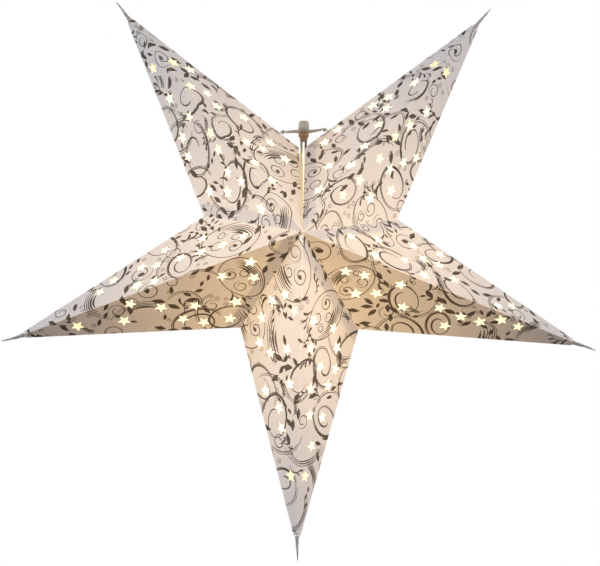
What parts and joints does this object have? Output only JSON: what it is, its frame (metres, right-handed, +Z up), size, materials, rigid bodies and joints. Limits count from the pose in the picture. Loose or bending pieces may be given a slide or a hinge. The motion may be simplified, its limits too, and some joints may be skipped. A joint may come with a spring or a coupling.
{
  "type": "folding paper star lantern",
  "caption": "Folding paper star lantern with hollow arms of die-cut printed card, lit by a screw-base lamp hung inside from a cord grip.",
  "frame": {"origin": "hanging point: centre of the cord grip's top face, on the neck's axis", "axes": "+Z up along the neck, away from the star; -Y out of the star's front; +X to the right seen from the front"},
  "size_m": [0.5914, 0.1834, 0.5602],
  "materials": {
    "printed_card": "matt uncoated card with a dark glittering print and die-cut holes, lit from inside",
    "liner_paper": "thin translucent paper that glows through the holes",
    "twisted_paper": "matt twisted paper",
    "tie_cord": "twisted grey string",
    "grip_plastic": "matt moulded plastic",
    "brown_plastic": "satin moulded plastic",
    "tan_lead": "satin wire insulation",
    "brown_lead": "satin wire insulation",
    "holder_plastic": "satin moulded plastic",
    "brass": "bright drawn brass",
    "bulb_glass": "frosted glass, lit",
    "tungsten": "hot filament on its stem"
  },
  "bodies": {
    "lamp": {"bottom_arm_tail": "twisted_paper", "cord_grip": "grip_plastic", "holder_cap": "holder_plastic", "holder_insert": "holder_plastic", "holder_screw_sleeve": "brass", "holder_skirt": "holder_plastic", "lamp_lead_left": "tan_lead", "lamp_lead_right": "brown_lead", "neck_body": "brown_plastic", "tie_cord_back": "tie_cord", "tie_cord_front": "tie_cord"},
    "bottom_arm_front_right": {"bottom_arm_front_right": "printed_card", "bottom_arm_front_right_liner": "liner_paper"},
    "right_arm_front_lower": {"right_arm_front_lower": "printed_card", "right_arm_front_lower_liner": "liner_paper"},
    "right_arm_front_upper": {"right_arm_front_upper": "printed_card", "right_arm_front_upper_liner": "liner_paper", "right_arm_tail": "twisted_paper"},
    "upper_right_arm_front_lower": {"upper_right_arm_front_lower": "printed_card", "upper_right_arm_front_lower_liner": "liner_paper"},
    "upper_right_arm_front_inner": {"tie_knot_right": "tie_cord", "upper_right_arm_front_inner": "printed_card", "upper_right_arm_front_inner_liner": "liner_paper", "upper_right_arm_tail": "twisted_paper"},
    "bottom_arm_front_left": {"bottom_arm_front_left": "printed_card", "bottom_arm_front_left_liner": "liner_paper"},
    "left_arm_front_lower": {"left_arm_front_lower": "printed_card", "left_arm_front_lower_liner": "liner_paper"},
    "left_arm_front_upper": {"left_arm_front_upper": "printed_card", "left_arm_front_upper_liner": "liner_paper", "left_arm_tail": "twisted_paper"},
    "upper_left_arm_front_lower": {"upper_left_arm_front_lower": "printed_card", "upper_left_arm_front_lower_liner": "liner_paper"},
    "upper_left_arm_front_inner": {"tie_knot_left": "tie_cord", "upper_left_arm_front_inner": "printed_card", "upper_left_arm_front_inner_liner": "liner_paper", "upper_left_arm_tail": "twisted_paper"},
    "bottom_arm_back_right": {"bottom_arm_back_right": "printed_card", "bottom_arm_back_right_liner": "liner_paper"},
    "bottom_arm_back_left": {"bottom_arm_back_left": "printed_card", "bottom_arm_back_left_liner": "liner_paper"},
    "right_arm_back_upper": {"right_arm_back_upper": "printed_card", "right_arm_back_upper_liner": "liner_paper"},
    "right_arm_back_lower": {"right_arm_back_lower": "printed_card", "right_arm_back_lower_liner": "liner_paper"},
    "upper_right_arm_back_inner": {"upper_right_arm_back_inner": "printed_card", "upper_right_arm_back_inner_liner": "liner_paper"},
    "upper_right_arm_back_lower": {"upper_right_arm_back_lower": "printed_card", "upper_right_arm_back_lower_liner": "liner_paper"},
    "left_arm_back_lower": {"left_arm_back_lower": "printed_card", "left_arm_back_lower_liner": "liner_paper"},
    "left_arm_back_upper": {"left_arm_back_upper": "printed_card", "left_arm_back_upper_liner": "liner_paper"},
    "upper_left_arm_back_lower": {"upper_left_arm_back_lower": "printed_card", "upper_left_arm_back_lower_liner": "liner_paper"},
    "upper_left_arm_back_inner": {"upper_left_arm_back_inner": "printed_card", "upper_left_arm_back_inner_liner": "liner_paper"},
    "bulb": {"bulb_screw_cap": "brass", "bulb_glass": "bulb_glass", "bulb_stem": "tungsten"}
  },
  "joints": [
    {"name": "star_fold", "type": "hinge", "parent": "lamp", "child": "bottom_arm_front_right", "pos_m": [-0.002, -0.095, -0.128], "axis": [0, -0.3019, 0.9533], "range_deg": [0, 38.82]},
    {"name": "right_arm_seam", "type": "hinge", "parent": "bottom_arm_front_right", "child": "right_arm_front_lower", "pos_m": [-0.002, -0.095, -0.128], "axis": [0.4245, 0.6851, -0.5919], "range_deg": [-0.02, 110.72]},
    {"name": "right_arm_ridge", "type": "hinge", "parent": "right_arm_front_lower", "child": "right_arm_front_upper", "pos_m": [-0.002, -0.095, -0.128], "axis": [-0.903, -0.3019, 0.3057], "range_deg": [-0.02, 77.66]},
    {"name": "upper_right_arm_seam", "type": "hinge", "parent": "right_arm_front_upper", "child": "upper_right_arm_front_lower", "pos_m": [-0.002, -0.095, -0.128], "axis": [0.6968, 0.6851, 0.2124], "range_deg": [-0.02, 110.72]},
    {"name": "upper_right_arm_ridge", "type": "hinge", "parent": "upper_right_arm_front_lower", "child": "upper_right_arm_front_inner", "pos_m": [-0.002, -0.095, -0.128], "axis": [-0.579, -0.3019, -0.7573], "range_deg": [-0.02, 77.66]},
    {"name": "bottom_ridge_left", "type": "hinge", "parent": "lamp", "child": "bottom_arm_front_left", "pos_m": [-0.002, -0.095, -0.128], "axis": [0, 0.3019, -0.9533], "range_deg": [-0.02, 38.84]},
    {"name": "left_arm_seam", "type": "hinge", "parent": "bottom_arm_front_left", "child": "left_arm_front_lower", "pos_m": [-0.002, -0.095, -0.128], "axis": [0.4245, -0.6851, 0.5919], "range_deg": [-0.02, 110.72]},
    {"name": "left_arm_ridge", "type": "hinge", "parent": "left_arm_front_lower", "child": "left_arm_front_upper", "pos_m": [-0.002, -0.095, -0.128], "axis": [-0.903, 0.3019, -0.3057], "range_deg": [-0.02, 77.66]},
    {"name": "upper_left_arm_seam", "type": "hinge", "parent": "left_arm_front_upper", "child": "upper_left_arm_front_lower", "pos_m": [-0.002, -0.095, -0.128], "axis": [0.6968, -0.6851, -0.2124], "range_deg": [-0.02, 110.72]},
    {"name": "upper_left_arm_ridge", "type": "hinge", "parent": "upper_left_arm_front_lower", "child": "upper_left_arm_front_inner", "pos_m": [-0.002, -0.095, -0.128], "axis": [-0.579, 0.3019, 0.7573], "range_deg": [-0.02, 77.66]},
    {"name": "bottom_arm_edge_right", "type": "hinge", "parent": "bottom_arm_front_right", "child": "bottom_arm_back_right", "pos_m": [-0.002, 0, -0.428], "axis": [-0.2608, 0, -0.9654], "range_deg": [-0.02, 73.94]},
    {"name": "bottom_arm_edge_left", "type": "hinge", "parent": "bottom_arm_front_left", "child": "bottom_arm_back_left", "pos_m": [-0.002, 0, -0.428], "axis": [-0.2608, 0, 0.9654], "range_deg": [-0.02, 73.94]},
    {"name": "right_arm_edge_upper", "type": "hinge", "parent": "right_arm_front_upper", "child": "right_arm_back_upper", "pos_m": [0.28216, 0, -0.22418], "axis": [0.8308, 0, -0.5565], "range_deg": [-0.02, 73.94]},
    {"name": "right_arm_edge_lower", "type": "hinge", "parent": "right_arm_front_lower", "child": "right_arm_back_lower", "pos_m": [0.28216, 0, -0.22418], "axis": [-0.998, 0, 0.0625], "range_deg": [-0.02, 73.94]},
    {"name": "upper_right_arm_edge_inner", "type": "hinge", "parent": "upper_right_arm_front_inner", "child": "upper_right_arm_back_inner", "pos_m": [0.18021, 0, 0.11032], "axis": [0.7935, 0, 0.6085], "range_deg": [-0.02, 73.94]},
    {"name": "upper_right_arm_edge_lower", "type": "hinge", "parent": "upper_right_arm_front_lower", "child": "upper_right_arm_back_lower", "pos_m": [0.18021, 0, 0.11032], "axis": [-0.3792, 0, -0.9253], "range_deg": [-0.02, 73.94]},
    {"name": "left_arm_edge_lower", "type": "hinge", "parent": "left_arm_front_lower", "child": "left_arm_back_lower", "pos_m": [-0.28616, 0, -0.22418], "axis": [-0.998, 0, -0.0625], "range_deg": [-0.02, 73.94]},
    {"name": "left_arm_edge_upper", "type": "hinge", "parent": "left_arm_front_upper", "child": "left_arm_back_upper", "pos_m": [-0.28616, 0, -0.22418], "axis": [0.8308, 0, 0.5565], "range_deg": [-0.02, 73.94]},
    {"name": "upper_left_arm_edge_lower", "type": "hinge", "parent": "upper_left_arm_front_lower", "child": "upper_left_arm_back_lower", "pos_m": [-0.18421, 0, 0.11032], "axis": [-0.3792, 0, 0.9253], "range_deg": [-0.02, 73.94]},
    {"name": "upper_left_arm_edge_inner", "type": "hinge", "parent": "upper_left_arm_front_inner", "child": "upper_left_arm_back_inner", "pos_m": [-0.18421, 0, 0.11032], "axis": [0.7935, 0, -0.6085], "range_deg": [-0.02, 73.94]},
    {"name": "bulb_turn", "type": "hinge", "parent": "lamp", "child": "bulb", "pos_m": [0, 0, -0.1], "axis": [0, 0, 1], "continuous": true}
  ],
  "couplings": [
    {"joint": "right_arm_seam", "follows": "star_fold", "ratio": 2.8515},
    {"joint": "right_arm_ridge", "follows": "star_fold", "ratio": 2},
    {"joint": "upper_right_arm_seam", "follows": "star_fold", "ratio": 2.8515},
    {"joint": "upper_right_arm_ridge", "follows": "star_fold", "ratio": 2},
    {"joint": "bottom_ridge_left", "follows": "star_fold", "ratio": 1},
    {"joint": "left_arm_seam", "follows": "star_fold", "ratio": 2.8515},
    {"joint": "left_arm_ridge", "follows": "star_fold", "ratio": 2},
    {"joint": "upper_left_arm_seam", "follows": "star_fold", "ratio": 2.8515},
    {"joint": "upper_left_arm_ridge", "follows": "star_fold", "ratio": 2},
    {"joint": "bottom_arm_edge_right", "follows": "star_fold", "ratio": 1.9041},
    {"joint": "bottom_arm_edge_left", "follows": "star_fold", "ratio": 1.9041},
    {"joint": "right_arm_edge_upper", "follows": "star_fold", "ratio": 1.9041},
    {"joint": "right_arm_edge_lower", "follows": "star_fold", "ratio": 1.9041},
    {"joint": "upper_right_arm_edge_inner", "follows": "star_fold", "ratio": 1.9041},
    {"joint": "upper_right_arm_edge_lower", "follows": "star_fold", "ratio": 1.9041},
    {"joint": "left_arm_edge_lower", "follows": "star_fold", "ratio": 1.9041},
    {"joint": "left_arm_edge_upper", "follows": "star_fold", "ratio": 1.9041},
    {"joint": "upper_left_arm_edge_lower", "follows": "star_fold", "ratio": 1.9041},
    {"joint": "upper_left_arm_edge_inner", "follows": "star_fold", "ratio": 1.9041}
  ]
}
